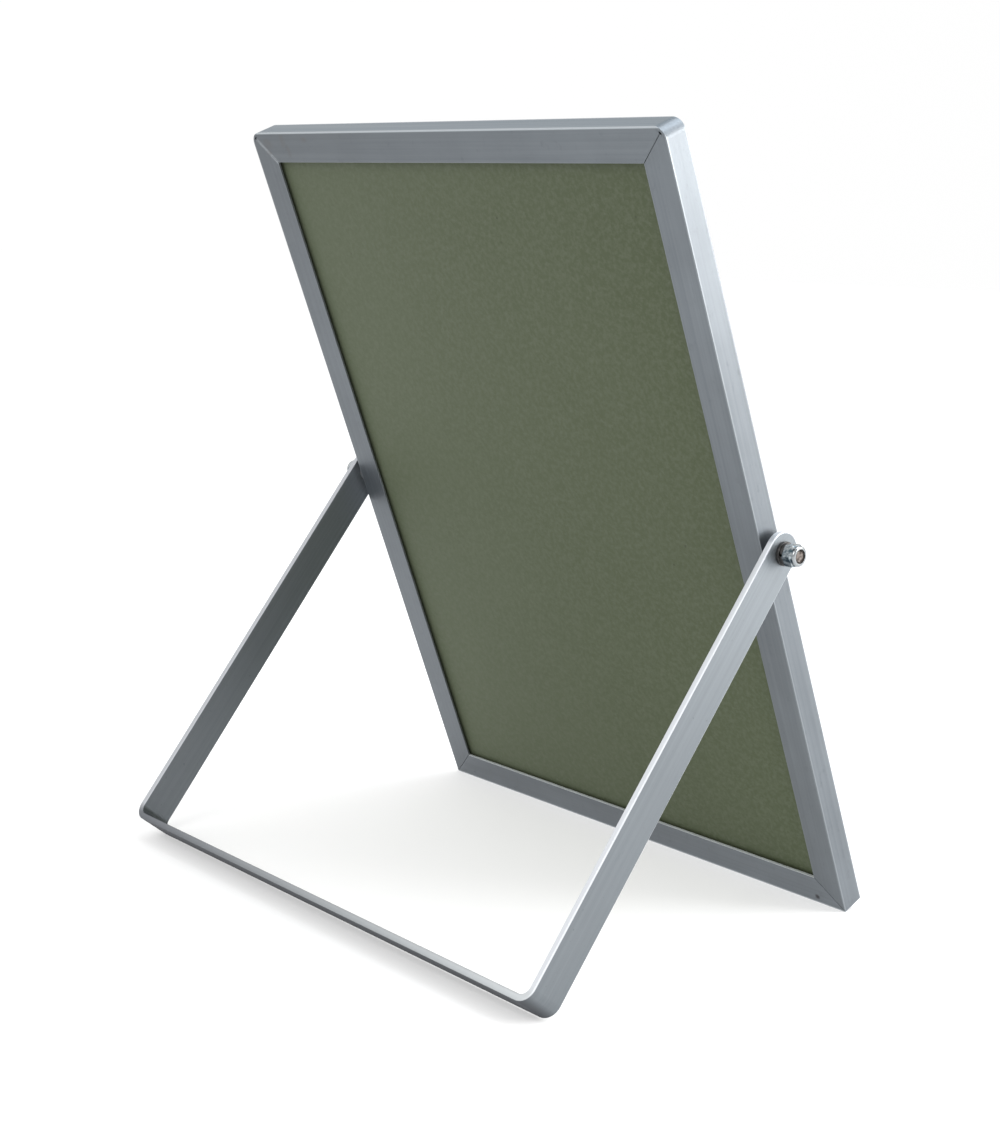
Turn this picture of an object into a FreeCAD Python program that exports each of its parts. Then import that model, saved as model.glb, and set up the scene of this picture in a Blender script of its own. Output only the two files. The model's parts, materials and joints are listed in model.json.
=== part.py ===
import FreeCAD, Part
import math
import os

# Tabletop easel: a framed writing board that leans back on a U-shaped stand of flat bar.
# Millimetres, +Z up. X runs across the board, the writing face looks towards -Y and the stand
# opens towards +Y. The origin is on the table, in the middle of the easel's footprint.
# The board is drawn upright, with its back face at y = 0 and its bottom edge at z = 0, and then
# leaned back. "Left" is -X and "right" is +X, as somebody facing the writing surface sees them.

# Board frame: a channel folded round the two top corners, and a mitred bottom rail
FRAME_WIDTH = 299.0
FRAME_HEIGHT = 413.0
FRAME_DEPTH = 12.7
CHANNEL_WALL = 1.2
LIP_WIDTH = 16.3            # outer edge of the frame to the free edge of each lip
FOLD_RADIUS = 6.0           # outside of the bend at each top corner
RELIEF_RADIUS = 1.0         # hole at the root of each fold's cut
JOINT_GAP = 0.2             # hairline at the folded and the mitred corners
LEAN = 23.5                 # degrees back from upright

# Corner keys inside the two bottom mitres, held by punch marks in the rail's back lip
KEY_LEG = 30.0
KEY_BAR = 5.0
KEY_CLEARANCE = 0.05
STAKE_RADIUS = 0.9
STAKE_DEPTH = 0.6
STAKE_FROM_END = 17.0

# Board: writing sheet, core and backing sheet, pressed forward by packing strips
WRITING_SHEET = 0.8
BACKING_SHEET = 1.0
REAR_GAP = 1.8              # backing sheet to the inside of the back lip
TOP_PLAY = 2.0              # board to the inside of the top rail
STRIP_WIDTH = 5.0
STRIP_INSET = 0.6           # board edge to strip
STRIP_BUTT = 0.5            # between strips at the corners

# Stand: one flat bar bent to a U, hung outside the frame
BAR_WIDTH = 20.0
BAR_THICKNESS = 3.2
LEG_REACH = 234.5           # pivot axis to the outer face of the foot bar
BEND_RADIUS = 4.5           # inside of each bend
SIDE_GAP = 3.6              # frame to the inner face of each leg
PIVOT_HEIGHT = 206.5        # along the board, from its bottom edge

# Pivot hardware, the same on both sides
BOLT_RADIUS = 3.0
PIVOT_CLEARANCE = 0.05      # radial, leg on bolt
HOLE_CLEARANCE = 0.2        # radial, frame and washers on bolt
THREAD_CLEARANCE = 0.03     # radial, nut and nylon ring on bolt
END_PLAY = 0.05             # each side of the leg
HEAD_HEIGHT = 4.0
HEAD_CLEARANCE = 0.15       # bolt head to each lip, which stops it turning
HEAD_TO_BOARD = 1.4
TIP_CHAMFER = 0.5
TIP_RECESS = 0.5            # bolt tip below the end of the nut
SPACER_RADIUS = 5.0
WASHER_RADIUS = 5.7
WASHER_THICKNESS = 1.6
SPRING_RADIUS = 5.4
SPRING_THICKNESS = 1.5
SPRING_SPLIT = 1.2
SPRING_SLANT = 25.0         # degrees, cut to pivot axis
SPLIT_TURN = 24.0           # degrees, cut up from straight back
NUT_FLATS = 10.0
NUT_HEX_HEIGHT = 4.8
NUT_HEIGHT = 6.8
NUT_TURN = -10.0            # degrees, flats off the direction of the lips
COLLAR_RADIUS = 4.9
COLLAR_ROUND = 1.0
RING_RADIUS = 4.1
RING_HEIGHT = 1.6
RING_RECESS = 0.9           # nylon ring below the end of the nut
RING_WINDOW = 3.4           # radius of the opening that shows the ring
RING_CLEARANCE = 0.02

OVERCUT = 1.0               # how far a cutting shape runs past what it cuts

HALF_WIDTH = FRAME_WIDTH / 2
HALF_BAR = BAR_WIDTH / 2
FRONT_Y = -FRAME_DEPTH
INSIDE_FRONT_Y = FRONT_Y + CHANNEL_WALL
INSIDE_BACK_Y = -CHANNEL_WALL
BOARD_BACK_Y = INSIDE_BACK_Y - REAR_GAP
PIVOT_Y = FRONT_Y / 2
BOARD_HALF = HALF_WIDTH - CHANNEL_WALL - HEAD_HEIGHT - HEAD_TO_BOARD
BOARD_LOW = CHANNEL_WALL + KEY_CLEARANCE + KEY_BAR
BOARD_HIGH = FRAME_HEIGHT - CHANNEL_WALL - TOP_PLAY

LEG_INNER_X = HALF_WIDTH + SIDE_GAP
LEG_OUTER_X = LEG_INNER_X + BAR_THICKNESS
WASHER_X = LEG_OUTER_X + END_PLAY
SPRING_X = WASHER_X + WASHER_THICKNESS
NUT_X = SPRING_X + SPRING_THICKNESS
NUT_END_X = NUT_X + NUT_HEIGHT

lean_sin = math.sin(math.radians(LEAN))
lean_cos = math.cos(math.radians(LEAN))


def vec(x, y, z):
    return FreeCAD.Vector(x, y, z)


def slab(x_low, x_high, y_low, y_high, z_low, z_high):
    return Part.makeBox(x_high - x_low, y_high - y_low, z_high - z_low, vec(x_low, y_low, z_low))


def plate(outline, y_low, y_high):
    """A flat outline of X, Z corners, given thickness along Y."""
    corners = [vec(x, y_low, z) for x, z in outline]
    face = Part.Face(Part.makePolygon(corners + corners[:1]))
    return face.extrude(vec(0, y_high - y_low, 0))


def rounded_end_block(half, square_z, round_z, radius, y_low, y_high):
    """A block across X, square at square_z and with both corners rounded at round_z."""
    bend_z = round_z - math.copysign(radius, round_z - square_z)
    centre_x = half - radius
    slope = radius * math.sqrt(0.5)
    mid_z = bend_z + math.copysign(slope, round_z - square_z)
    start = [vec(side * half, y_low, square_z) for side in (-1, 1)]
    bend = [vec(side * half, y_low, bend_z) for side in (-1, 1)]
    middle = [vec(side * (centre_x + slope), y_low, mid_z) for side in (-1, 1)]
    crown = [vec(side * centre_x, y_low, round_z) for side in (-1, 1)]
    edges = [
        Part.LineSegment(start[0], start[1]).toShape(),
        Part.LineSegment(start[1], bend[1]).toShape(),
        Part.Arc(bend[1], middle[1], crown[1]).toShape(),
        Part.LineSegment(crown[1], crown[0]).toShape(),
        Part.Arc(crown[0], middle[0], bend[0]).toShape(),
        Part.LineSegment(bend[0], start[0]).toShape(),
    ]
    return Part.Face(Part.Wire(edges)).extrude(vec(0, y_high - y_low, 0))


def frame_block(inset, y_low, y_high):
    """The frame's outline, drawn in by inset: square at the bottom, bent round at the top."""
    radius = FOLD_RADIUS - inset
    return rounded_end_block(HALF_WIDTH - inset, inset, FRAME_HEIGHT - inset, radius, y_low, y_high)


def fold_cut(side, y_low, y_high):
    """The slit along a top corner's fold line and the relief hole at its root."""
    root = FOLD_RADIUS - (FOLD_RADIUS - CHANNEL_WALL) * math.sqrt(0.5)
    start = LIP_WIDTH + OVERCUT
    half_gap = JOINT_GAP / 2 * math.sqrt(0.5)
    outline = []
    for distance, shift in ((start, -half_gap), (root, -half_gap), (root, half_gap), (start, half_gap)):
        across = HALF_WIDTH - distance - shift
        outline.append((side * across, FRAME_HEIGHT - distance + shift))
    hole_base = vec(side * (HALF_WIDTH - root), y_low, FRAME_HEIGHT - root)
    hole = Part.makeCylinder(RELIEF_RADIUS, y_high - y_low, hole_base, vec(0, 1, 0))
    return plate(outline, y_low, y_high).fuse(hole)


def lip(y_low, y_high):
    """One lip of the channel, all the way round the frame."""
    shape = frame_block(CHANNEL_WALL, y_low, y_high)
    cut_low = y_low - OVERCUT
    cut_high = y_high + OVERCUT
    opening_x = HALF_WIDTH - LIP_WIDTH
    opening_top = FRAME_HEIGHT - LIP_WIDTH
    shape = shape.cut(slab(-opening_x, opening_x, cut_low, cut_high, LIP_WIDTH, opening_top))
    for side in (-1, 1):
        shape = shape.cut(fold_cut(side, cut_low, cut_high))
    return shape


def channel_ring():
    """Side wall and both lips, closed all round."""
    wall = frame_block(0, FRONT_Y, 0).cut(frame_block(CHANNEL_WALL, FRONT_Y - OVERCUT, OVERCUT))
    lips = [lip(FRONT_Y, INSIDE_FRONT_Y), lip(INSIDE_BACK_Y, 0)]
    return wall.fuse(lips).removeSplitter()


def mitre_block(inset):
    """Everything below the two bottom mitre planes, drawn in by inset along X."""
    reach = LIP_WIDTH + OVERCUT
    low_x = HALF_WIDTH + OVERCUT - inset
    high_x = HALF_WIDTH - reach - inset
    outline = [(-low_x, -OVERCUT), (low_x, -OVERCUT), (high_x, reach), (-high_x, reach)]
    return plate(outline, FRONT_Y - OVERCUT, OVERCUT)


def folded_frame():
    """Left stile, top rail and right stile: one channel, folded at the top corners."""
    shape = channel_ring().cut(mitre_block(-JOINT_GAP * math.sqrt(0.5)))
    radius = BOLT_RADIUS + HOLE_CLEARANCE
    for side in (-1, 1):
        start = vec(side * (HALF_WIDTH + OVERCUT), PIVOT_Y, PIVOT_HEIGHT)
        length = CHANNEL_WALL + 2 * OVERCUT
        shape = shape.cut(Part.makeCylinder(radius, length, start, vec(-side, 0, 0)))
    return shape


def bottom_rail():
    """Straight channel with mitred ends and a punch mark over each corner key."""
    shape = channel_ring().common(mitre_block(JOINT_GAP * math.sqrt(0.5)))
    mark_z = CHANNEL_WALL + KEY_BAR / 2
    for side in (-1, 1):
        base = vec(side * (HALF_WIDTH - STAKE_FROM_END), 0, mark_z)
        mark = Part.makeCone(STAKE_RADIUS, STAKE_RADIUS / 4, STAKE_DEPTH, base, vec(0, -1, 0))
        shape = shape.cut(mark)
    return shape


def corner_key(side):
    """L-shaped bar inside a bottom corner, between the lips and against both side walls."""
    outer = HALF_WIDTH - CHANNEL_WALL - KEY_CLEARANCE
    low = CHANNEL_WALL + KEY_CLEARANCE
    outline = [
        (outer, low),
        (outer, low + KEY_LEG),
        (outer - KEY_BAR, low + KEY_LEG),
        (outer - KEY_BAR, low + KEY_BAR),
        (outer - KEY_LEG, low + KEY_BAR),
        (outer - KEY_LEG, low),
    ]
    outline = [(side * x, z) for x, z in outline]
    return plate(outline, INSIDE_FRONT_Y + KEY_CLEARANCE, INSIDE_BACK_Y - KEY_CLEARANCE)


def board_layer(y_low, y_high):
    return slab(-BOARD_HALF, BOARD_HALF, y_low, y_high, BOARD_LOW, BOARD_HIGH)


def board_layers():
    """Writing sheet, core and backing sheet, from the front lip backwards."""
    core_front = INSIDE_FRONT_Y + WRITING_SHEET
    core_back = BOARD_BACK_Y - BACKING_SHEET
    return {
        "writing_surface": board_layer(INSIDE_FRONT_Y, core_front),
        "core_board": board_layer(core_front, core_back),
        "back_panel": board_layer(core_back, BOARD_BACK_Y),
    }


def packing_strips():
    """Soft strips between the backing sheet and the back lip, out of sight under the lip."""
    outer_x = BOARD_HALF - STRIP_INSET
    inner_x = outer_x - STRIP_WIDTH
    cross_x = inner_x - STRIP_BUTT
    low = BOARD_LOW + STRIP_INSET
    high = BOARD_HIGH - STRIP_INSET
    spans = {
        "left": (-outer_x, -inner_x, low, high),
        "right": (inner_x, outer_x, low, high),
        "bottom": (-cross_x, cross_x, low, low + STRIP_WIDTH),
        "top": (-cross_x, cross_x, high - STRIP_WIDTH, high),
    }
    strips = {}
    for name, (x_low, x_high, z_low, z_high) in spans.items():
        strip = slab(x_low, x_high, BOARD_BACK_Y, INSIDE_BACK_Y, z_low, z_high)
        strips["packing_strip_" + name] = strip
    return strips


def pivot_cylinder(radius, x_low, x_high):
    return Part.makeCylinder(radius, x_high - x_low, vec(x_low, PIVOT_Y, PIVOT_HEIGHT), vec(1, 0, 0))


def pivot_tube(inner, outer, x_low, x_high):
    return pivot_cylinder(outer, x_low, x_high).cut(
        pivot_cylinder(inner, x_low - OVERCUT, x_high + OVERCUT))


def pivot_hexagon(across_flats, x_low, x_high, turn):
    """Hexagonal prism on the pivot axis, with flats facing the lips at a turn of 0."""
    corner_radius = across_flats / math.sqrt(3)
    corners = []
    for step in range(6):
        angle = math.radians(30 + 60 * step + turn)
        y = PIVOT_Y + corner_radius * math.cos(angle)
        corners.append(vec(x_low, y, PIVOT_HEIGHT + corner_radius * math.sin(angle)))
    face = Part.Face(Part.makePolygon(corners + corners[:1]))
    return face.extrude(vec(x_high - x_low, 0, 0))


def pivot_revolve(edges):
    """Edges drawn in X and radius, closed on the axis, turned about the pivot axis."""
    face = Part.Face(Part.Wire(edges))
    return face.revolve(vec(0, PIVOT_Y, PIVOT_HEIGHT), vec(1, 0, 0), 360)


def profile_point(x, radius):
    return vec(x, PIVOT_Y, PIVOT_HEIGHT + radius)


def profile_lines(points):
    pairs = zip(points, points[1:])
    return [Part.LineSegment(profile_point(*a), profile_point(*b)).toShape() for a, b in pairs]


def pivot_bolt():
    """Hexagon bolt, its head held between the lips inside the stile."""
    head_back = HALF_WIDTH - CHANNEL_WALL
    head_start = head_back - HEAD_HEIGHT
    head_flats = FRAME_DEPTH - 2 * CHANNEL_WALL - 2 * HEAD_CLEARANCE
    head = pivot_hexagon(head_flats, head_start, head_back, 0)
    tip = NUT_END_X - TIP_RECESS
    shank = [
        (head_start, 0),
        (head_start, BOLT_RADIUS),
        (tip - TIP_CHAMFER, BOLT_RADIUS),
        (tip, BOLT_RADIUS - TIP_CHAMFER),
        (tip, 0),
        (head_start, 0),
    ]
    return head.fuse(pivot_revolve(profile_lines(shank))).removeSplitter()


def spacer():
    """Plain bush that stands the leg off the frame."""
    return pivot_tube(BOLT_RADIUS + HOLE_CLEARANCE, SPACER_RADIUS, HALF_WIDTH, LEG_INNER_X - END_PLAY)


def flat_washer():
    return pivot_tube(BOLT_RADIUS + HOLE_CLEARANCE, WASHER_RADIUS, WASHER_X, SPRING_X)


def spring_washer():
    """Split ring, pressed flat, with a slanted cut."""
    ring = pivot_tube(BOLT_RADIUS + HOLE_CLEARANCE, SPRING_RADIUS, SPRING_X, NUT_X)
    reach = SPRING_RADIUS + OVERCUT
    half_length = SPRING_THICKNESS + OVERCUT
    split = slab(-half_length, half_length, 0, reach, -SPRING_SPLIT / 2, SPRING_SPLIT / 2)
    split.rotate(vec(0, 0, 0), vec(0, 1, 0), SPRING_SLANT)
    split.rotate(vec(0, 0, 0), vec(1, 0, 0), SPLIT_TURN)
    split.translate(vec((SPRING_X + NUT_X) / 2, PIVOT_Y, PIVOT_HEIGHT))
    return ring.cut(split)


def lock_nut():
    """Hexagon nut with a round collar that holds a nylon ring."""
    corner = NUT_FLATS / math.sqrt(3)
    foot = NUT_FLATS / 2
    slope = math.tan(math.radians(30))
    shoulder_x = NUT_X + NUT_HEX_HEIGHT
    collar_top = NUT_END_X - COLLAR_ROUND
    lines = profile_lines([
        (NUT_END_X, COLLAR_RADIUS - COLLAR_ROUND),
        (NUT_END_X, 0),
        (NUT_X, 0),
        (NUT_X, foot),
        (NUT_X + (corner - foot) * slope, corner),
        (shoulder_x - (corner - COLLAR_RADIUS) * slope, corner),
        (shoulder_x, COLLAR_RADIUS),
        (collar_top, COLLAR_RADIUS),
    ])
    reach = COLLAR_ROUND * math.sqrt(0.5)
    bulge = profile_point(collar_top + reach, COLLAR_RADIUS - COLLAR_ROUND + reach)
    start = profile_point(collar_top, COLLAR_RADIUS)
    end = profile_point(NUT_END_X, COLLAR_RADIUS - COLLAR_ROUND)
    lines.append(Part.Arc(start, bulge, end).toShape())
    shape = pivot_revolve(lines)
    shape = shape.common(pivot_hexagon(NUT_FLATS, NUT_X, NUT_END_X, NUT_TURN))
    shape = shape.cut(pivot_cylinder(BOLT_RADIUS + THREAD_CLEARANCE, NUT_X - OVERCUT, NUT_END_X + OVERCUT))
    ring_end = NUT_END_X - RING_RECESS
    pocket_radius = RING_RADIUS + RING_CLEARANCE
    pocket = pivot_cylinder(pocket_radius, ring_end - RING_HEIGHT - RING_CLEARANCE, ring_end + RING_CLEARANCE)
    return shape.cut(pocket).cut(pivot_cylinder(RING_WINDOW, ring_end, NUT_END_X + OVERCUT))


def nylon_ring():
    ring_end = NUT_END_X - RING_RECESS
    return pivot_tube(BOLT_RADIUS + THREAD_CLEARANCE, RING_RADIUS, ring_end - RING_HEIGHT, ring_end)


def pivot_height_above_table():
    return PIVOT_HEIGHT * lean_cos - PIVOT_Y * lean_sin


def leg_slope():
    """Radians between the legs and the table, with the foot bar's lower edge on the table."""
    reach = math.hypot(LEG_REACH, HALF_BAR)
    return math.asin(pivot_height_above_table() / reach) - math.atan2(HALF_BAR, LEG_REACH)


def support_stand():
    """Flat bar bent to a U, with round ends that hang on the two bolts."""
    outer_radius = BEND_RADIUS + BAR_THICKNESS
    bar = rounded_end_block(LEG_OUTER_X, HALF_BAR, -LEG_REACH, outer_radius, -HALF_BAR, HALF_BAR)
    inside = rounded_end_block(LEG_INNER_X, HALF_BAR + OVERCUT, BAR_THICKNESS - LEG_REACH, BEND_RADIUS,
                               -HALF_BAR - OVERCUT, HALF_BAR + OVERCUT)
    past_x = LEG_OUTER_X + OVERCUT
    past_y = HALF_BAR + OVERCUT
    round_end = Part.makeCylinder(HALF_BAR, 2 * past_x, vec(-past_x, 0, 0), vec(1, 0, 0))
    ends = slab(-past_x, past_x, -past_y, past_y, 0, past_y).cut(round_end)
    hole = Part.makeCylinder(BOLT_RADIUS + PIVOT_CLEARANCE, 2 * past_x, vec(-past_x, 0, 0), vec(1, 0, 0))
    shape = bar.cut(inside).cut(ends).cut(hole)
    shape.rotate(vec(0, 0, 0), vec(1, 0, 0), 90 + LEAN - math.degrees(leg_slope()))
    shape.translate(vec(0, PIVOT_Y, PIVOT_HEIGHT))
    return shape


def footprint_shift():
    """How far back the easel moves so that its footprint is centred on the origin."""
    slope = leg_slope()
    pivot_y = PIVOT_HEIGHT * lean_sin + PIVOT_Y * lean_cos
    foot_back = pivot_y + LEG_REACH * math.cos(slope) + HALF_BAR * math.sin(slope)
    board_back = FRAME_HEIGHT * lean_sin
    board_front = FRONT_Y * lean_cos
    return -(max(foot_back, board_back) + board_front) / 2


def set_down(shape):
    """Lean an upright shape back and move it to its place on the table."""
    shape.rotate(vec(0, 0, 0), vec(1, 0, 0), -LEAN)
    shape.translate(vec(0, footprint_shift(), 0))
    return shape


def easel():
    """Every piece by name, on the upright board."""
    pieces = {
        "folded_frame": folded_frame(),
        "bottom_rail": bottom_rail(),
        "corner_key_left": corner_key(-1),
        "corner_key_right": corner_key(1),
        "support_stand": support_stand(),
    }
    pieces.update(board_layers())
    pieces.update(packing_strips())
    hardware = {
        "pivot_bolt": pivot_bolt(),
        "pivot_spacer": spacer(),
        "flat_washer": flat_washer(),
        "spring_washer": spring_washer(),
        "lock_nut": lock_nut(),
        "nylon_ring": nylon_ring(),
    }
    for name, shape in hardware.items():
        pieces[name + "_right"] = shape
        pieces[name + "_left"] = shape.mirror(vec(0, 0, 0), vec(1, 0, 0))
    return pieces


os.makedirs("parts", exist_ok=True)
for node, piece in easel().items():
    set_down(piece).exportStep("parts/" + node + ".step")
print("stand legs slope", round(math.degrees(leg_slope()), 3), "degrees")
print("footprint shift", round(footprint_shift(), 4), "mm")
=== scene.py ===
import json
import math
import bmesh
import bpy
from mathutils import Matrix, Vector


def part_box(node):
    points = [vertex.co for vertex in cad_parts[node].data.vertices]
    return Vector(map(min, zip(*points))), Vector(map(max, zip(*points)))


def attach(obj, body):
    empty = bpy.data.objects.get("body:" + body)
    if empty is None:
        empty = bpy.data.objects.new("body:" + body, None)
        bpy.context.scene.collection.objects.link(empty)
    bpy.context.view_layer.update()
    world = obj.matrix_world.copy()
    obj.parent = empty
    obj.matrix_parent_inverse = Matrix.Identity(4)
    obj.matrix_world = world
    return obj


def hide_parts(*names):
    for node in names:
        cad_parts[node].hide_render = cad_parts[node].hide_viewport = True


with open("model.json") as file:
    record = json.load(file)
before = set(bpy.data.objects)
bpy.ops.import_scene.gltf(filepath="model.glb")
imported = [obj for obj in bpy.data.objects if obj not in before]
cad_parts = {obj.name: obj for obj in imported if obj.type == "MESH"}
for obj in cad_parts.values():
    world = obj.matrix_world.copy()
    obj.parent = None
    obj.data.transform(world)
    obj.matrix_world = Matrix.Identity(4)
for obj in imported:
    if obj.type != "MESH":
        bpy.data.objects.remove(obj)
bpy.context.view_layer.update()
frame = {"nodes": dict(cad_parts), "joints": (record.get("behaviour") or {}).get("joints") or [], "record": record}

mm = 0.001
white = (1.0, 1.0, 1.0)

# where things are, read from the joint and the flat faces
mounts = {mount["name"]: mount for mount in frame["record"]["mounts"]}
pivot = Vector(frame["joints"][0]["pos_m"])
boardUp = Vector(mounts["top_rail_face"]["axis"])
boardTop = Vector(mounts["top_rail_face"]["pos_m"])
legDown = Vector(mounts["foot_bar_face"]["axis"])
lean = math.atan2(boardUp.y, boardUp.z)
legTilt = math.atan2(legDown.y, -legDown.z)  # how far the legs swing out from straight down
frameLow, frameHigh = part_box("folded_frame")
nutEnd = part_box("lock_nut_right")[1][0]

board = {
    "width": frameHigh[0] - frameLow[0],
    "height": 413 * mm,
    "depth": 12.7 * mm,
    "lip": 16.3 * mm,
    "backLip": (-2.5 * mm, -1.5 * mm),  # marks on the back lip fade out between these depths
}


# after a turn by the lean, this shift gives x across, y back and z up the board
def boardShift():
    turn = Matrix.Rotation(lean, 3, "X")
    return Vector((0, -board["depth"] / 2, board["height"])) - turn @ boardTop


print("board leans", round(math.degrees(lean), 2), "degrees")


camera = {
    "place": (-0.6906, 0.6356, 0.3345),
    "look": (0.72871, -0.66769, -0.15224),
    "roll": 2.34,      # degrees
    "lens": 59.18,
    "rise": -0.0459,
    "clip": (0.01, 60),
}


def addCamera():
    data = bpy.data.cameras.new("camera")
    data.lens = camera["lens"]
    data.shift_y = camera["rise"]
    data.clip_start, data.clip_end = camera["clip"]
    shot = bpy.data.objects.new("camera", data)
    bpy.context.scene.collection.objects.link(shot)
    shot.location = camera["place"]
    aim = Vector(camera["look"]).to_track_quat("-Z", "Y").to_matrix().to_4x4()
    aim = aim @ Matrix.Rotation(math.radians(camera["roll"]), 4, "Z")
    shot.rotation_euler = aim.to_euler()
    bpy.context.scene.camera = shot
    print("camera placed")


studio = {
    "skyMiddle": 1.03,
    "skyFront": -0.04,   # how much brighter the sky gets towards the writing side
    "floorColour": (0.62, 0.62, 0.617),
    "floorGlow": 0.38,   # keeps the contact shadows pale
    "floorRoughness": 0.85,
    "floorRadius": 14.0,
    "floorSides": 128,
    "floorDrop": 0.1 * mm,
    "aimHeight": 0.18,   # the lights point at the middle of the easel
}
softBoxes = {
    "sideBox": {"place": (-1.9, -1.7, 0.80), "size": (1.3, 1.1), "power": 45, "tint": (1.0, 0.985, 0.965)},
    "highBox": {"place": (-1.0, -0.95, 1.65), "size": (1.3, 1.3), "power": 16, "tint": (0.95, 1.0, 1.05)},
    "overBox": {"place": (-0.30, -0.55, 2.1), "size": (1.1, 1.1), "power": 15, "tint": (0.91, 1.0, 1.08)},
    "fillBox": {"place": (-0.35, 1.6, 1.3), "size": (0.9, 0.9), "power": 13, "tint": white},
}


def addSky():
    world = bpy.data.worlds.new("studio")
    world.use_nodes = True
    tree = world.node_tree
    sky = tree.nodes["Background"]
    sky.inputs["Color"].default_value = (*white, 1)
    direction = tree.nodes.new("ShaderNodeSeparateXYZ")
    tree.links.new(tree.nodes.new("ShaderNodeTexCoord").outputs["Generated"], direction.inputs[0])
    level = tree.nodes.new("ShaderNodeMath")
    level.operation = "MULTIPLY_ADD"
    tree.links.new(direction.outputs["Y"], level.inputs[0])
    level.inputs[1].default_value = -studio["skyFront"]
    level.inputs[2].default_value = studio["skyMiddle"]
    tree.links.new(level.outputs[0], sky.inputs["Strength"])
    bpy.context.scene.world = world
    bpy.context.scene.view_settings.view_transform = "Standard"


def addLights():
    for name, box in softBoxes.items():
        data = bpy.data.lights.new(name, "AREA")
        data.shape = "RECTANGLE"
        data.size, data.size_y = box["size"]
        data.energy = box["power"]
        data.color = box["tint"]
        light = bpy.data.objects.new(name, data)
        light.location = box["place"]
        toEasel = Vector((0, 0, studio["aimHeight"])) - Vector(box["place"])
        light.rotation_euler = toEasel.to_track_quat("-Z", "Y").to_euler()
        bpy.context.scene.collection.objects.link(light)


def addFloor():
    shape = bmesh.new()
    bmesh.ops.create_circle(shape, cap_ends=True, segments=studio["floorSides"], radius=studio["floorRadius"])
    mesh = bpy.data.meshes.new("floor")
    shape.to_mesh(mesh)
    shape.free()
    floor = bpy.data.objects.new("floor", mesh)
    floor.location.z = -studio["floorDrop"]
    bpy.context.scene.collection.objects.link(floor)
    paint = bpy.data.materials.new("floorPaint")
    paint.use_nodes = True
    surface = paint.node_tree.nodes["Principled BSDF"]
    surface.inputs["Base Color"].default_value = (*studio["floorColour"], 1)
    surface.inputs["Roughness"].default_value = studio["floorRoughness"]
    surface.inputs["Emission Color"].default_value = (*white, 1)
    surface.inputs["Emission Strength"].default_value = studio["floorGlow"]
    mesh.materials.append(paint)
    print("studio ready with", len(softBoxes), "soft boxes")


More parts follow.
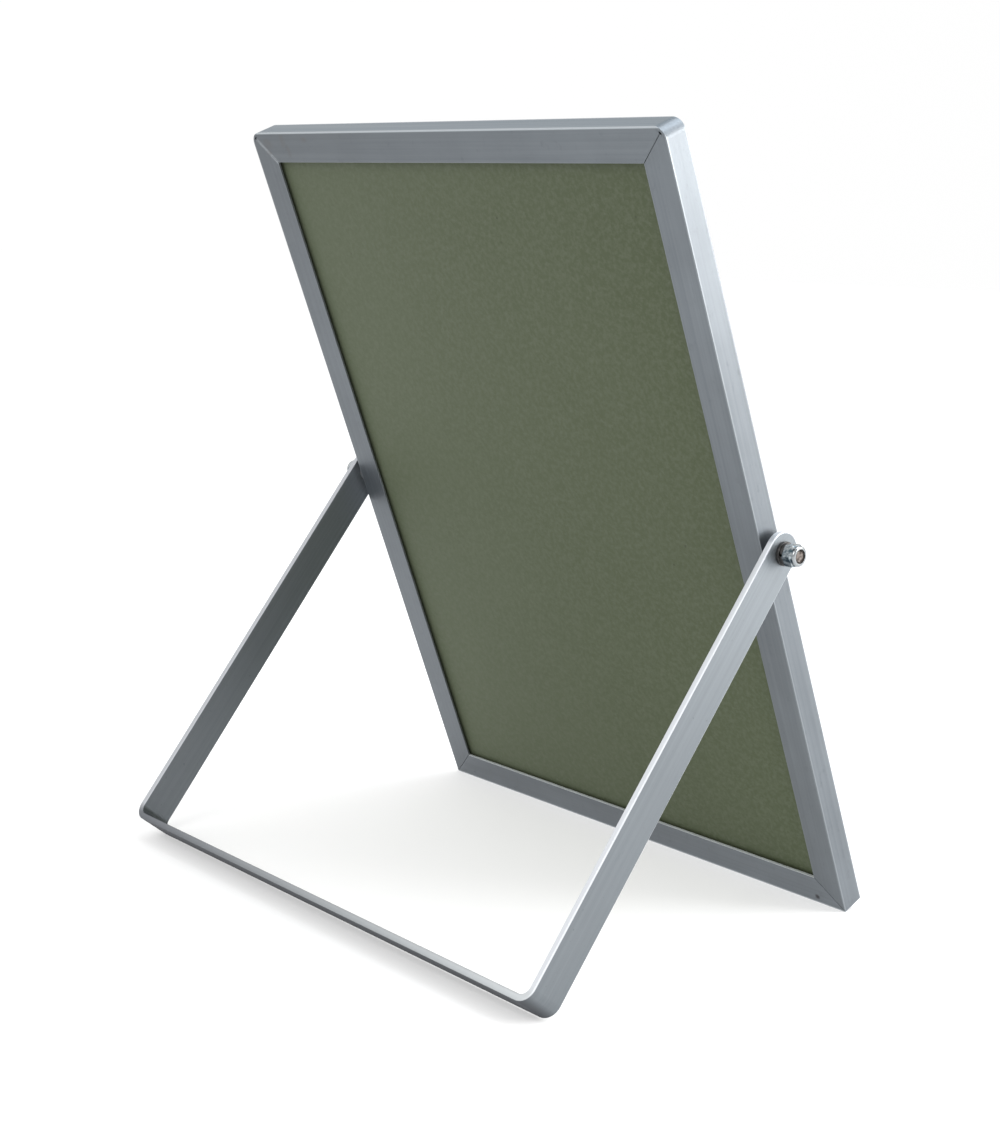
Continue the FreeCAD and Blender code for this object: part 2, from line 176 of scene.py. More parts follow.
# one material and the small set of moves used to build it
# a noise is given by scale, detail and roughness, and its tones or spread by the ends of a band
class finishKit:
    def __init__(self, name, roughness, metallic=0.0):
        self.material = bpy.data.materials.new(name)
        self.material.use_nodes = True
        self.tree = self.material.node_tree
        self.surface = self.tree.nodes["Principled BSDF"]
        self.surface.inputs["Metallic"].default_value = metallic
        self.surface.inputs["Roughness"].default_value = roughness
        self.place = self.tree.nodes.new("ShaderNodeTexCoord").outputs["Object"]

    def plug(self, value, socket):
        if isinstance(value, bpy.types.NodeSocket):
            self.tree.links.new(value, socket)
        else:
            socket.default_value = value

    def math(self, operation, first, second=0.0):
        node = self.tree.nodes.new("ShaderNodeMath")
        node.operation = operation
        self.plug(first, node.inputs[0])
        self.plug(second, node.inputs[1])
        return node.outputs[0]

    def times(self, first, *others):
        for other in others:
            first = self.math("MULTIPLY", first, other)
        return first

    def plus(self, first, second):
        return self.math("ADD", first, second)

    def minus(self, first, second):
        return self.math("SUBTRACT", first, second)

    def absolute(self, value):
        return self.math("ABSOLUTE", value)

    def least(self, first, second):
        return self.math("MINIMUM", first, second)

    def most(self, first, second):
        return self.math("MAXIMUM", first, second)

    # the two lengths squared and added
    def spread(self, across, upward):
        squares = [self.math("POWER", self.absolute(length), 2) for length in (across, upward)]
        return self.plus(*squares)

    def turned(self, angle, shift):
        node = self.tree.nodes.new("ShaderNodeMapping")
        node.inputs["Rotation"].default_value = (angle, 0, 0)
        node.inputs["Location"].default_value = shift
        self.plug(self.place, node.inputs["Vector"])
        return node.outputs[0]

    def stretched(self, vector, scale):
        node = self.tree.nodes.new("ShaderNodeVectorMath")
        node.operation = "MULTIPLY"
        self.plug(vector, node.inputs[0])
        node.inputs[1].default_value = scale
        return node.outputs[0]

    def split(self, vector):
        node = self.tree.nodes.new("ShaderNodeSeparateXYZ")
        self.plug(vector, node.inputs[0])
        return node.outputs["X"], node.outputs["Y"], node.outputs["Z"]

    def noise(self, vector, scale, detail=3.0, rough=0.55):
        node = self.tree.nodes.new("ShaderNodeTexNoise")
        node.inputs["Scale"].default_value = scale
        node.inputs["Detail"].default_value = detail
        node.inputs["Roughness"].default_value = rough
        self.plug(vector, node.inputs["Vector"])
        return node.outputs[0]

    # noise drawn out along one direction, for lines, fibres and scratches
    def streaks(self, vector, scale, detail=4.0, rough=0.6):
        return self.noise(self.stretched(vector, scale), 1.0, detail, rough)

    def cells(self, vector, scale):
        node = self.tree.nodes.new("ShaderNodeTexVoronoi")
        node.inputs["Scale"].default_value = scale
        self.plug(vector, node.inputs["Vector"])
        return node.outputs["Distance"]

    # low to high becomes fromValue to toValue, held beyond both ends
    def band(self, value, low, high, fromValue=0.0, toValue=1.0):
        node = self.tree.nodes.new("ShaderNodeMapRange")
        self.plug(value, node.inputs["Value"])
        node.inputs["From Min"].default_value = low
        node.inputs["From Max"].default_value = high
        node.inputs["To Min"].default_value = fromValue
        node.inputs["To Max"].default_value = toValue
        return node.outputs[0]

    def mixed(self, amount, first, second):
        node = self.tree.nodes.new("ShaderNodeMix")
        node.data_type = "FLOAT"
        self.plug(amount, node.inputs[0])
        self.plug(first, node.inputs[2])
        self.plug(second, node.inputs[3])
        return node.outputs[0]

    def blended(self, amount, first, second, mode="MIX"):
        node = self.tree.nodes.new("ShaderNodeMix")
        node.data_type = "RGBA"
        node.blend_type = mode
        self.plug(amount, node.inputs[0])
        for colour, socket in ((first, node.inputs[6]), (second, node.inputs[7])):
            self.plug(colour if isinstance(colour, bpy.types.NodeSocket) else (*colour, 1), socket)
        return node.outputs[2]

    def shaded(self, colour, level):
        grey = self.tree.nodes.new("ShaderNodeCombineColor")
        for channel in range(3):
            self.plug(level, grey.inputs[channel])
        return self.blended(1.0, colour, grey.outputs[0], "MULTIPLY")

    # height is a noise, and depth is (strength, distance)
    def bump(self, height, depth, under=None):
        node = self.tree.nodes.new("ShaderNodeBump")
        node.inputs["Strength"].default_value, node.inputs["Distance"].default_value = depth
        self.plug(height, node.inputs["Height"])
        if under:
            self.plug(under, node.inputs["Normal"])
        return node.outputs[0]

    def finish(self, colour, roughness, normal):
        self.plug(colour, self.surface.inputs["Base Color"])
        if roughness:
            self.plug(roughness, self.surface.inputs["Roughness"])
        self.plug(normal, self.surface.inputs["Normal"])
        return self.material


channelFinish = {
    "colour": (0.142, 0.157, 0.172),
    "paleLine": (0.171, 0.188, 0.204),
    "paintedTopSheen": (0.150, 0.186, 0.217),
    # painted highlights for the lip edges and the outer corners
    "lipHighlight": (0.66, 0.69, 0.71),
    "corner": (0.44, 0.47, 0.49),
    "smudge": (0.105, 0.100, 0.097),
    "mitreHighlight": (0.40, 0.42, 0.44),
    "punchShade": (0.035, 0.033, 0.032),
    "roughness": (0.33, 0.43),
    "metallic": 0.8,
    "highlightRougher": 0.14,      # the painted mitre and lip highlights are this much rougher
    "lines": 520,            # die lines per metre across the metal
    "lineRun": 5,            # and along it
    "lineTones": (0.35, 0.7),
    "lineSheen": (0.3, 0.7),
    "cloud": 26,
    "cloudShade": (0.3, 0.7, 0.94, 1.05),
    "rubs": ((210, 210, 130), 5.0, 0.7),
    "rubShade": (0.28, 0.42, 0.86, 1.0),
    "grain": (1900, 2.0),
    "rightPaintedShade": 0.82,      # painted shade: the +X side is drawn darker
    "topPaintedShade": 0.88,       # painted shade: darker from "highStarts" up to the top rail
    "highStarts": 0.7,
    "railPaintedLight": 1.14,       # painted light: the bottom rail, known by its height up the board, is drawn paler
    "railBelow": 0.1,
    "topSheenDepth": (0.6 * mm, 0.2 * mm, 0.0, 0.85),  # painted reflection on the top face: depth below the top face, and strength
    "lineDepth": (0.10, 0.12 * mm),
    "grainDepth": (0.06, 0.04 * mm),
}
smudges = (                  # across and down from the top +X corner, half width and half height
    (12 * mm, 6.0 * mm, 3.5 * mm, 3.0 * mm),
    (11 * mm, 11.0 * mm, 2.5 * mm, 1.5 * mm),
    (26 * mm, 4.5 * mm, 2.2 * mm, 3.5 * mm),
    (29 * mm, 10.5 * mm, 1.6 * mm, 3.5 * mm),
    (45 * mm, 4.0 * mm, 3.0 * mm, 1.5 * mm),
)
smudgeLook = {"edge": (1.5, 0.1), "grain": (300, 4.0, 0.7), "patches": (0.3, 0.6, 0.2, 1.0), "strength": 0.52}
# painted highlight along the mitre line of the top +X corner
mitreHighlight = {
    "halfWidth": (1.9 * mm, 0.5 * mm),
    "inward": (17 * mm, 16 * mm),
    "down": (2 * mm, 4 * mm),
    "grain": 420,
    "ragged": (0.35, 0.62, 0.35, 1.0),
    "strength": 0.55,
}
# painted shade round the rim of one punch mark
punchMark = {"fromSide": 17 * mm, "height": 3.7 * mm, "rim": (1.9 * mm, 0.7 * mm), "strength": 0.8}
# where the painted highlights lie on the lip edges, outer corners and cut ends, and how strong they are
paintedEdgeHighlights = {
    "lipEdge": (0.32 * mm, 0.12 * mm),   # in from the lip's free edge
    "corner": (0.95 * mm, 0.45 * mm),    # from the outer corner, along both faces
    "cutEnd": (0.75 * mm, 0.35 * mm),    # up from the stile's cut end
    "cutSide": (1.4 * mm, 1.2 * mm),
    "onStile": 0.22,
    "onRail": 0.8,
    "foldedLip": 0.12,
}


def channelMaterial():
    look = channelFinish
    made = finishKit("satinChannel", 0.42, look["metallic"])
    place = made.turned(lean, boardShift())
    x, y, z = made.split(place)
    halfWidth = board["width"] / 2
    height = board["height"]

    # rails run across and stiles run up, and they change over on the mitre lines
    fromSide = made.minus(halfWidth, made.absolute(x))
    fromTop = made.minus(height, z)
    fromEnd = made.least(fromTop, z)
    fromRim = made.least(fromEnd, fromSide)
    onRail = made.math("LESS_THAN", fromEnd, fromSide)
    atFoot = made.times(onRail, made.math("LESS_THAN", z, look["railBelow"]))
    onBack = made.band(y, *board["backLip"])

    fine, run = look["lines"], look["lineRun"]
    lines = made.mixed(onRail, made.streaks(place, (fine, fine, run)), made.streaks(place, (run, fine, fine)))
    cloud = made.noise(place, look["cloud"])
    grain = made.noise(place, *look["grain"])
    rubs = made.streaks(place, *look["rubs"])

    colour = made.blended(made.band(lines, *look["lineTones"]), look["colour"], look["paleLine"])
    # cloud and rubs vary the tone at random; painted shade darkens the +X side and the top, and painted light
    # makes the bottom rail paler
    shade = made.times(made.band(cloud, *look["cloudShade"]),
                       made.band(rubs, *look["rubShade"]),
                       made.band(x, -halfWidth, halfWidth, 1.0, look["rightPaintedShade"]),
                       made.band(z, look["highStarts"] * height, height, 1.0, look["topPaintedShade"]),
                       made.mixed(atFoot, 1.0, look["railPaintedLight"]))
    colour = made.shaded(colour, shade)
    # painted reflection: the top face is drawn bluer and paler
    colour = made.blended(made.band(fromTop, *look["topSheenDepth"]), colour, look["paintedTopSheen"])

    # handling marks gather by one top corner, and a painted highlight runs pale along the mitre line of its fold
    inward = made.minus(halfWidth, x)
    offFold = made.absolute(made.minus(inward, fromTop))
    ragged = made.band(made.noise(place, mitreHighlight["grain"]), *mitreHighlight["ragged"])
    onMitreHighlight = made.times(made.band(offFold, *mitreHighlight["halfWidth"]), made.band(inward, *mitreHighlight["inward"]),
                          ragged, made.band(fromTop, *mitreHighlight["down"]))
    blots = 0.0
    for across, down, wide, high in smudges:
        sideways = made.math("DIVIDE", made.minus(inward, across), wide)
        upDown = made.math("DIVIDE", made.minus(fromTop, down), high)
        blots = made.most(made.band(made.spread(sideways, upDown), *smudgeLook["edge"]), blots)
    patchy = made.band(made.noise(place, *smudgeLook["grain"]), *smudgeLook["patches"])
    blots = made.times(blots, patchy, onBack)
    colour = made.blended(made.times(blots, smudgeLook["strength"]), colour, look["smudge"])
    # painted highlight along the mitre line
    colour = made.blended(made.times(onMitreHighlight, mitreHighlight["strength"]), colour, look["mitreHighlight"])

    # painted shade: one of the punch marks over the corner keys is drawn dark round the rim
    sideways = made.plus(x, halfWidth - punchMark["fromSide"])
    upDown = made.minus(z, punchMark["height"])
    fromMark = made.math("SQRT", made.spread(sideways, upDown))
    onMark = made.times(made.band(fromMark, *punchMark["rim"]), onBack)
    colour = made.blended(made.times(onMark, punchMark["strength"]), colour, look["punchShade"])

    # painted highlights: the lip edges, outer corners and cut ends are drawn pale
    nearFace = made.least(made.times(y, -1), made.plus(y, board["depth"]))
    lipStarts, lipEnds = (board["lip"] - inset for inset in paintedEdgeHighlights["lipEdge"])
    onLip = made.band(fromRim, lipStarts, lipEnds)
    onCorner = made.band(made.plus(fromRim, nearFace), *paintedEdgeHighlights["corner"])
    onCut = made.times(made.band(z, *paintedEdgeHighlights["cutEnd"]), made.band(fromSide, *paintedEdgeHighlights["cutSide"]))
    edgeHighlight = made.times(made.most(onCorner, onCut),
                        made.mixed(onRail, paintedEdgeHighlights["onStile"], paintedEdgeHighlights["onRail"]))
    onLip = made.times(onLip, made.mixed(atFoot, paintedEdgeHighlights["foldedLip"], 1.0))
    colour = made.blended(edgeHighlight, colour, look["corner"])
    colour = made.blended(onLip, colour, look["lipHighlight"])

    roughness = made.mixed(made.band(lines, *look["lineSheen"]), *look["roughness"])
    roughness = made.plus(roughness, made.times(made.most(onMitreHighlight, onLip), look["highlightRougher"]))
    normal = made.bump(lines, look["lineDepth"])
    return made.finish(colour, roughness, made.bump(grain, look["grainDepth"], normal))


barFinish = {
    "colour": (0.150, 0.165, 0.178),
    "paleLine": (0.178, 0.195, 0.209),
    "legHighlightRight": (0.46, 0.475, 0.50),  # painted highlights on the rounded long edges, right is +X
    "legHighlightLeft": (0.63, 0.65, 0.68),
    # painted shade on the foot's +X edge, painted highlight on its -X edge
    "footShadeRight": (0.18, 0.19, 0.205),
    "footHighlightLeft": (0.53, 0.55, 0.56),
    "paintedUnderShade": (0.080, 0.083, 0.092),   # painted shade on the foot bar's underside
    "undersideRise": (4.5 * mm, 0.2 * mm),
    "undersideBlend": 0.85,
    "undersideDull": 0.45,
    "roughness": (0.38, 0.48),
    "metallic": 0.8,
    "lines": 640,
    "lineRun": 4,
    "lineTones": (0.35, 0.7),
    "lineSheen": (0.3, 0.7),
    "cloud": 30,
    "cloudTones": (0.45, 0.75, 0.0, 0.35),
    "grain": (1700, 2.0),
    "scuffs": ((90, 260, 90), 5.0, 0.75),
    "scuffSpread": (0.62, 0.72),
    "scuffDull": 0.12,
    "specks": (520, 2.0),
    "speckSpread": (0.70, 0.76),
    "speckShade": (0.0, 1.0, 1.0, 0.82),
    "pivotPaintedLight": (-0.12, -0.03, 1.0, 1.20),  # painted light: a little paler near the pivots
    "edgeWidth": (0.55 * mm, 0.2 * mm),
    "halfWidth": 10 * mm,
    "footStarts": (-226 * mm, -231 * mm),
    "reach": 234.5 * mm,
    "sideToSide": (0.15, -0.15),
    "lineDepth": (0.10, 0.12 * mm),
    "grainDepth": (0.06, 0.04 * mm),
}


def barMaterial():
    look = barFinish
    made = finishKit("rolledBar", 0.43, look["metallic"])
    turn = Matrix.Rotation(-legTilt, 3, "X")
    place = made.turned(-legTilt, -(turn @ pivot))  # z runs up the legs, and is 0 at the pivot
    x, y, z = made.split(place)
    fine, run = look["lines"], look["lineRun"]
    lines = made.streaks(place, (run, fine, run))
    cloud = made.noise(place, look["cloud"])
    grain = made.noise(place, *look["grain"])
    scuffs = made.band(made.streaks(place, *look["scuffs"]), *look["scuffSpread"])
    specks = made.band(made.noise(place, *look["specks"]), *look["speckSpread"])

    colour = made.blended(made.band(lines, *look["lineTones"]), look["colour"], look["paleLine"])
    colour = made.blended(made.band(cloud, *look["cloudTones"]), colour, look["paleLine"])
    colour = made.shaded(colour, made.band(specks, *look["speckShade"]))
    # painted light: the legs are drawn paler near the pivots
    colour = made.shaded(colour, made.band(z, *look["pivotPaintedLight"]))

    # painted shade darkens the underside of the foot bar
    underStarts, underEnds = (rise - look["reach"] for rise in look["undersideRise"])
    under = made.band(z, underStarts, underEnds)
    colour = made.blended(made.times(under, look["undersideBlend"]), colour, look["paintedUnderShade"])

    # painted highlights on the legs' rounded edges, and painted shade grading to painted highlight along the
    # foot's edge
    along = made.band(x, *look["sideToSide"])
    legHighlight = made.blended(along, look["legHighlightRight"], look["legHighlightLeft"])
    footShadeToHighlight = made.blended(along, look["footShadeRight"], look["footHighlightLeft"])
    edgeLight = made.blended(made.band(z, *look["footStarts"]), legHighlight, footShadeToHighlight)
    beyond = made.most(z, 0)  # past the pivot the bar ends in a half circle
    fromMiddle = made.math("SQRT", made.plus(made.times(y, y), made.times(beyond, beyond)))
    onEdge = made.band(made.minus(look["halfWidth"], fromMiddle), *look["edgeWidth"])
    colour = made.blended(onEdge, colour, edgeLight)

    roughness = made.mixed(made.band(lines, *look["lineSheen"]), *look["roughness"])
    roughness = made.plus(roughness, made.times(scuffs, look["scuffDull"]))
    roughness = made.plus(roughness, made.times(under, look["undersideDull"]))
    normal = made.bump(lines, look["lineDepth"])
    return made.finish(colour, roughness, made.bump(grain, look["grainDepth"], normal))


backingFinish = {
    "colour": (0.076, 0.091, 0.054),
    "light": (0.084, 0.098, 0.063),
    "dark": (0.050, 0.063, 0.030),
    "speck": (0.03, 0.032, 0.02),
    "roughness": (0.72, 0.60),
    "specular": 0.32,
    "cloud": 8,
    "cloudShift": (0.3, 0.7, -0.08, 0.08),
    "mottle": (420, 4.0, 0.65),
    "mottleTones": (0.42, 0.72, 0.0, 0.6),
    "mottleSheen": (0.3, 0.7),
    "fibre": ((620, 260, 260), 4.0, 0.7),
    "fibreTones": (0.58, 0.80, 0.0, 0.25),
    "specks": 110,
    "speckSize": (0.10, 0.05),
    "speckGroups": (60, 1.0),
    "speckSpread": (0.60, 0.66),
    "speckStrength": 0.6,
    "sidePaintedShade": (0.1, 0.95),                 # painted shade: dark tone at -X, full tone at +X
    "heightPaintedShade": (0.05, 0.38, 1.06, 0.90),  # painted shade, darker towards the top: two heights above the table and the shade at each
    "mottleDepth": (0.16, 0.15 * mm),
    "fibreDepth": (0.10, 0.10 * mm),
}


def backingMaterial():
    look = backingFinish
    made = finishKit("backingCoat", 0.66)
    made.surface.inputs["Specular IOR Level"].default_value = look["specular"]
    place = made.place
    across, _, upward = made.split(place)
    cloud = made.noise(place, look["cloud"])
    mottle = made.noise(place, *look["mottle"])
    fibre = made.streaks(place, *look["fibre"])
    specks = made.times(made.band(made.cells(place, look["specks"]), *look["speckSize"]),
                        made.band(made.noise(place, *look["speckGroups"]), *look["speckSpread"]))
    # painted shade: the backing is drawn darker towards -X, wandering a little at random
    fade = made.band(across, -board["width"] / 2, board["width"] / 2, *look["sidePaintedShade"])
    fade = made.plus(fade, made.band(cloud, *look["cloudShift"]))
    colour = made.blended(fade, look["dark"], look["colour"])
    colour = made.blended(made.band(mottle, *look["mottleTones"]), colour, look["light"])
    colour = made.blended(made.band(fibre, *look["fibreTones"]), colour, look["dark"])
    colour = made.blended(made.times(specks, look["speckStrength"]), colour, look["speck"])
    # painted shade: the backing is drawn darker towards the top
    colour = made.shaded(colour, made.band(upward, *look["heightPaintedShade"]))
    roughness = made.mixed(made.band(mottle, *look["mottleSheen"]), *look["roughness"])
    normal = made.bump(mottle, look["mottleDepth"])
    return made.finish(colour, roughness, made.bump(fibre, look["fibreDepth"], normal))


writingFinish = {
    "colour": (0.40, 0.41, 0.41),
    "wipe": (0.325, 0.34, 0.355),
    "ghost": (0.21, 0.23, 0.27),
    "roughness": (0.12, 0.26),
    "wipeRun": 5,            # wipes run across and lie close together up the sheet
    "wipePitch": 46,
    "wipeSway": 0.05,
    "swayNoise": (6, 2.0),
    "wipeNoise": (1.0, 5.0, 0.65),
    "wipeSpread": (0.46, 0.74),
    "wipeStrength": 0.6,
    "ghosts": ((24, 24, 70), 4.0, 0.7),
    "ghostSpread": (0.62, 0.80),
    "ghostStrength": 0.30,
    "grimeWidth": 7 * mm,
    "grimeStrength": 0.35,
    "peel": (360, 2.0),
    "peelDepth": (0.05, 0.08 * mm),
}


def writingMaterial():
    look = writingFinish
    made = finishKit("writingGloss", 0.16)
    place = made.turned(lean, boardShift())
    x, _, z = made.split(place)
    sway = made.times(made.noise(place, *look["swayNoise"]), look["wipeSway"])
    arcs = made.tree.nodes.new("ShaderNodeCombineXYZ")
    made.plug(made.times(x, look["wipeRun"]), arcs.inputs[0])
    made.plug(made.times(made.plus(z, sway), look["wipePitch"]), arcs.inputs[2])
    smear = made.band(made.noise(arcs.outputs[0], *look["wipeNoise"]), *look["wipeSpread"])
    ghost = made.band(made.streaks(place, *look["ghosts"]), *look["ghostSpread"])
    fromEnd = made.least(z, made.minus(board["height"], z))
    fromRim = made.least(fromEnd, made.minus(board["width"] / 2, made.absolute(x)))
    grime = made.band(fromRim, board["lip"] + look["grimeWidth"], board["lip"])
    colour = made.blended(made.times(smear, look["wipeStrength"]), look["colour"], look["wipe"])
    colour = made.blended(made.times(ghost, look["ghostStrength"]), colour, look["ghost"])
    colour = made.blended(made.times(grime, look["grimeStrength"]), colour, look["ghost"])
    peel = made.noise(made.place, *look["peel"])
    return made.finish(colour, made.mixed(smear, *look["roughness"]), made.bump(peel, look["peelDepth"]))


coreFinish = {
    "colour": (0.40, 0.29, 0.17),
    "dark": (0.22, 0.15, 0.085),
    "roughness": 0.85,
    "fibre": ((500, 1400, 500), 5.0, 0.7),
    "fibreTones": (0.3, 0.7),
    "depth": (0.5, 0.2 * mm),
}


def coreMaterial():
    look = coreFinish
    made = finishKit("fibreCore", look["roughness"])
    fibre = made.streaks(made.place, *look["fibre"])
    colour = made.blended(made.band(fibre, *look["fibreTones"]), look["dark"], look["colour"])
    return made.finish(colour, None, made.bump(fibre, look["depth"]))


foamFinish = {
    "colour": (0.035, 0.036, 0.038),
    "pore": (0.012, 0.012, 0.013),
    "roughness": 0.9,
    "pores": 1500,
    "poreTones": (0.1, 0.5),
    "depth": (0.5, 0.2 * mm),
}


def foamMaterial():
    look = foamFinish
    made = finishKit("closedFoam", look["roughness"])
    pores = made.cells(made.place, look["pores"])
    colour = made.blended(made.band(pores, *look["poreTones"]), look["pore"], look["colour"])
    return made.finish(colour, None, made.bump(pores, look["depth"]))


zincFinish = {
    "pale": (0.46, 0.485, 0.50),
    "deep": (0.065, 0.10, 0.12),
    # painted reflection: the nut's end lip is drawn in its own flat tone
    "lip": (0.29, 0.305, 0.315),
    "lipWidth": (1.3 * mm, 0.7 * mm),   # in from the end of the nut
    "roughness": (0.14, 0.26),
    "cloud": ((260, 420, 420), 3.0, 0.5),
    "cloudTones": (0.40, 0.60),
    "scratches": ((400, 3800, 3800), 3.0, 0.7),
    "scratchSheen": (0.4, 0.75),
    "depth": (0.06, 0.03 * mm),
}


def zincMaterial():
    look = zincFinish
    made = finishKit("brightZinc", 0.2, 1.0)
    cloud = made.streaks(made.place, *look["cloud"])
    scratch = made.streaks(made.place, *look["scratches"])
    outward = made.absolute(made.split(made.place)[0])
    lipStarts, lipEnds = (nutEnd - inset for inset in look["lipWidth"])
    colour = made.blended(made.band(cloud, *look["cloudTones"]), look["deep"], look["pale"])
    # painted reflection on the nut's end lip
    colour = made.blended(made.band(outward, lipStarts, lipEnds), colour, look["lip"])
    roughness = made.mixed(made.band(scratch, *look["scratchSheen"]), *look["roughness"])
    return made.finish(colour, roughness, made.bump(scratch, look["depth"]))


boltFinish = {
    "colour": (0.055, 0.046, 0.041),
    "pale": (0.20, 0.172, 0.158),
    "roughness": (0.28, 0.42),
    "cloud": 520,
    "cloudTones": (0.40, 0.65),
    "scratches": ((3200, 900, 3200), 3.0, 0.7),
    "scratchSheen": (0.35, 0.7),
    "depth": (0.10, 0.04 * mm),
}


def boltMaterial():
    look = boltFinish
    made = finishKit("boltZinc", 0.35, 1.0)
    cloud = made.noise(made.place, look["cloud"])
    scratch = made.streaks(made.place, *look["scratches"])
    colour = made.blended(made.band(cloud, *look["cloudTones"]), look["colour"], look["pale"])
    roughness = made.mixed(made.band(scratch, *look["scratchSheen"]), *look["roughness"])
    return made.finish(colour, roughness, made.bump(scratch, look["depth"]))


washerFinish = {
    "colour": (0.075, 0.072, 0.070),
    "worn": (0.34, 0.32, 0.31),
    "roughness": (0.42, 0.26),
    "wear": (700, 4.0, 0.7),
    "wearSpread": (0.55, 0.75),
    "wearStrength": 0.5,
    "grain": (2600, 2.0),
    "depth": (0.1, 0.05 * mm),
}


def washerMaterial():
    look = washerFinish
    made = finishKit("darkSteel", 0.34, 1.0)
    wear = made.band(made.noise(made.place, *look["wear"]), *look["wearSpread"])
    grain = made.noise(made.place, *look["grain"])
    colour = made.blended(made.times(wear, look["wearStrength"]), look["colour"], look["worn"])
    return made.finish(colour, made.mixed(wear, *look["roughness"]), made.bump(grain, look["depth"]))


spacerFinish = {"colour": (0.10, 0.105, 0.11), "pale": (0.14, 0.145, 0.15), "roughness": 0.42}
insertFinish = {"colour": (0.045, 0.036, 0.032), "pale": (0.11, 0.085, 0.07), "roughness": 0.35}
nylonGrain = {
    "size": 1500,
    "tones": (0.35, 0.75),
    "sheen": (0.3, 0.7),
    "smoother": 0.06,
    "rougher": 0.08,
    "depth": (0.12, 0.06 * mm),
}


def nylonMaterial(name, look):
    level = look["roughness"]
    made = finishKit(name, level)
    grain = made.noise(made.place, nylonGrain["size"])
    colour = made.blended(made.band(grain, *nylonGrain["tones"]), look["colour"], look["pale"])
    sheen = (level - nylonGrain["smoother"], level + nylonGrain["rougher"])
    roughness = made.band(grain, *nylonGrain["sheen"], *sheen)
    return made.finish(colour, roughness, made.bump(grain, nylonGrain["depth"]))


castFinish = {
    "colour": (0.24, 0.245, 0.25),
    "dark": (0.13, 0.13, 0.135),
    "roughness": (0.3, 0.7, 0.42, 0.6),
    "grain": (900, 4.0, 0.7),
    "grainTones": (0.35, 0.7),
    "depth": (0.3, 0.1 * mm),
}


def castMaterial():
    look = castFinish
    made = finishKit("castKey", 0.5, 1.0)
    grain = made.noise(made.place, *look["grain"])
    colour = made.blended(made.band(grain, *look["grainTones"]), look["dark"], look["colour"])
    roughness = made.band(grain, *look["roughness"])
    return made.finish(colour, roughness, made.bump(grain, look["depth"]))


# how far the edges of each kind of piece are rounded, in millimetres
edgeRounds = {
    "folded_frame": 0.32,
    "bottom_rail": 0.32,
    "support_stand": 0.55,
    "corner_key": 0.25,
    "back_panel": 0.12,
    "core_board": 0.15,
    "writing_surface": 0.12,
    "packing_strip": 0.3,
    "pivot_spacer": 0.3,
    "flat_washer": 0.22,
    "spring_washer": 0.18,
    "lock_nut": 0.12,
    "nylon_ring": 0.12,
}
sides = ("left", "right")
edges = ("top", "bottom")
rounding = {
    "weld": 0.002 * mm,
    "segments": 3,
    "from": 28,   # degrees an edge has to turn by to be rounded
}


def softenEdges(piece, width):
    weld = piece.modifiers.new("weld", "WELD")
    weld.merge_threshold = rounding["weld"]
    bevel = piece.modifiers.new("edges", "BEVEL")
    bevel.width = width * mm
    bevel.segments = rounding["segments"]
    bevel.limit_method = "ANGLE"
    bevel.angle_limit = math.radians(rounding["from"])
    bevel.use_clamp_overlap = True
    bevel.harden_normals = False
    smooth = piece.modifiers.new("shading", "WEIGHTED_NORMAL")
    smooth.keep_sharp = True


def dress(node, material):
    piece = frame["nodes"][node]
    for place in piece.material_slots:
        place.material = material
    if not piece.material_slots:
        piece.data.materials.append(material)
    kind = node
    for side in sides + edges:
        kind = kind.removesuffix("_" + side)
    softenEdges(piece, edgeRounds[kind])


def dressAll():
    channel = channelMaterial()
    foam = foamMaterial()
    cast = castMaterial()
    zinc = zincMaterial()
    darkSteel = washerMaterial()
    spacer = nylonMaterial("spacerNylon", spacerFinish)
    insert = nylonMaterial("insertNylon", insertFinish)
    finishes = {
        "folded_frame": channel,
        "bottom_rail": channel,
        "support_stand": barMaterial(),
        "back_panel": backingMaterial(),
        "core_board": coreMaterial(),
        "writing_surface": writingMaterial(),
    }
    for side in sides + edges:
        finishes["packing_strip_" + side] = foam
    for side in sides:
        finishes["corner_key_" + side] = cast
        finishes["lock_nut_" + side] = zinc
        finishes["flat_washer_" + side] = darkSteel
        finishes["spring_washer_" + side] = darkSteel
        finishes["pivot_spacer_" + side] = spacer
        finishes["nylon_ring_" + side] = insert
    for node, material in finishes.items():
        dress(node, material)
    print("dressed", len(finishes), "pieces")


bolt = {
    "radius": 2.97 * mm,
    "root": 2.45 * mm,
    "pitch": 1.0 * mm,
    "headHeight": 4.0 * mm,
    "headFlats": 10.0 * mm,
    "headChamfer": 0.6 * mm,
    "chamferRun": 0.36 * mm,
    "plainLength": 8.0 * mm,   # smooth shank under the head, through the spacer and the leg
    "tipChamfer": 0.55 * mm,
    "around": 72,
    "stepsPerTurn": 12,
    "flank": (1.25, -0.1),     # slope and offset of the thread's sides, for flat crests and roots
    "sharpFrom": 35,           # degrees
}


# radius of the thread at a distance along the bolt and a fraction of a turn round it
def threadRadius(along, turn):
    phase = (along / bolt["pitch"] - turn) % 1.0
    slope, offset = bolt["flank"]
    flank = min(1.0, max(0.0, slope * abs(2 * phase - 1) + offset))
    return bolt["root"] + (bolt["radius"] - bolt["root"]) * flank


def hexagonRadius(flats, angle):
    sixth = math.pi / 3
    return flats / 2 / math.cos((angle + sixth / 2) % sixth - sixth / 2)


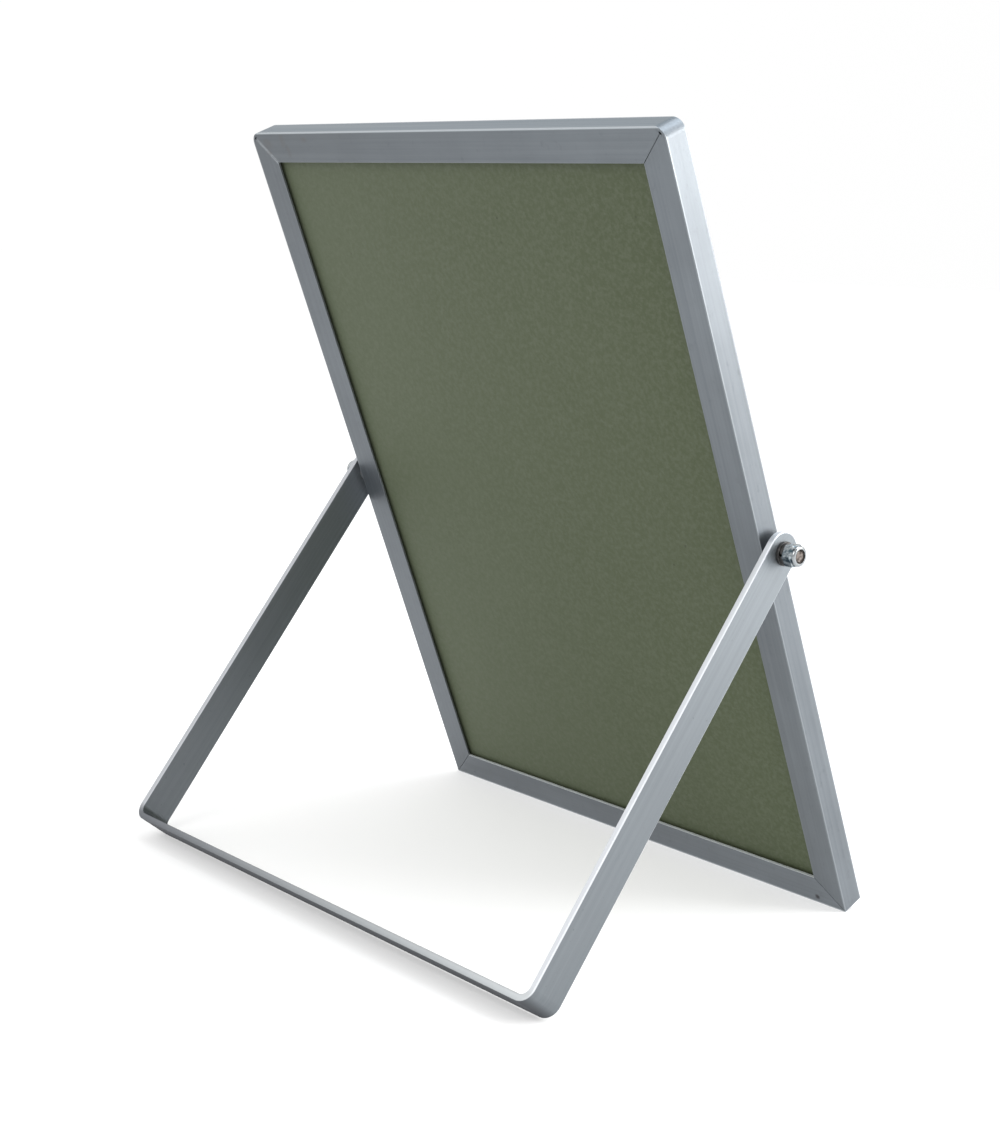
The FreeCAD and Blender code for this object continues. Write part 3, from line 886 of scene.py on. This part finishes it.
# each ring is its distance from the head's inner end and a radius for each angle
def boltRings(length):
    head = bolt["headHeight"]
    corner = bolt["headFlats"] / math.sqrt(3)
    rings = []
    for along, limit in ((0, corner - bolt["headChamfer"]), (bolt["chamferRun"], corner), (head, corner)):
        rings.append((along, lambda angle, limit=limit: min(limit, hexagonRadius(bolt["headFlats"], angle))))
    start = head + bolt["plainLength"]
    for along in (head, start):
        rings.append((along, lambda angle: bolt["radius"]))
    steps = int((length - start) / bolt["pitch"] * bolt["stepsPerTurn"])
    for step in range(1, steps + 1):
        along = start + (length - start) * step / steps
        fade = min(1.0, (along - start) / bolt["pitch"])
        tip = bolt["radius"] - max(0.0, along - (length - bolt["tipChamfer"]))

        def radius(angle, along=along, fade=fade, tip=tip):
            cut = threadRadius(along, angle / (2 * math.pi))
            return min(tip, bolt["radius"] + (cut - bolt["radius"]) * fade)
        rings.append((along, radius))
    return rings


# a bolt with a cut thread stands for the plain one, on the same axis and of the same length
def addBolt(side, material):
    node = "pivot_bolt_" + side
    low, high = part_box(node)
    outward = 1 if side == "right" else -1
    start = low[0] if outward > 0 else high[0]
    around = bolt["around"]
    turnHead = Matrix.Rotation(-lean, 3, "X")  # flats lie against the lips
    shape = bmesh.new()
    rows = []
    for along, radius in boltRings(high[0] - low[0]):
        row = []
        for step in range(around):
            angle = 2 * math.pi * step / around
            reach = radius(angle)
            spoke = turnHead @ Vector((0, math.cos(angle) * reach, math.sin(angle) * reach))
            row.append(shape.verts.new((start + outward * along, pivot.y + spoke.y, pivot.z + spoke.z)))
        rows.append(row)
    for first, second in zip(rows, rows[1:]):
        for step in range(around):
            after = (step + 1) % around
            shape.faces.new((first[step], first[after], second[after], second[step]))
    shape.faces.new(rows[0])
    shape.faces.new(reversed(rows[-1]))
    bmesh.ops.recalc_face_normals(shape, faces=shape.faces)
    mesh = bpy.data.meshes.new("threadedBolt")
    shape.to_mesh(mesh)
    shape.free()
    made = bpy.data.objects.new("threaded_bolt_" + side, mesh)
    bpy.context.scene.collection.objects.link(made)
    for face in mesh.polygons:
        face.use_smooth = True
    mesh.set_sharp_from_angle(angle=math.radians(bolt["sharpFrom"]))
    mesh.materials.append(material)
    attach(made, "board")
    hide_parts(node)


addCamera()
addSky()
addLights()
addFloor()
dressAll()
boltZinc = boltMaterial()
for side in sides:
    addBolt(side, boltZinc)
print("bolts threaded")
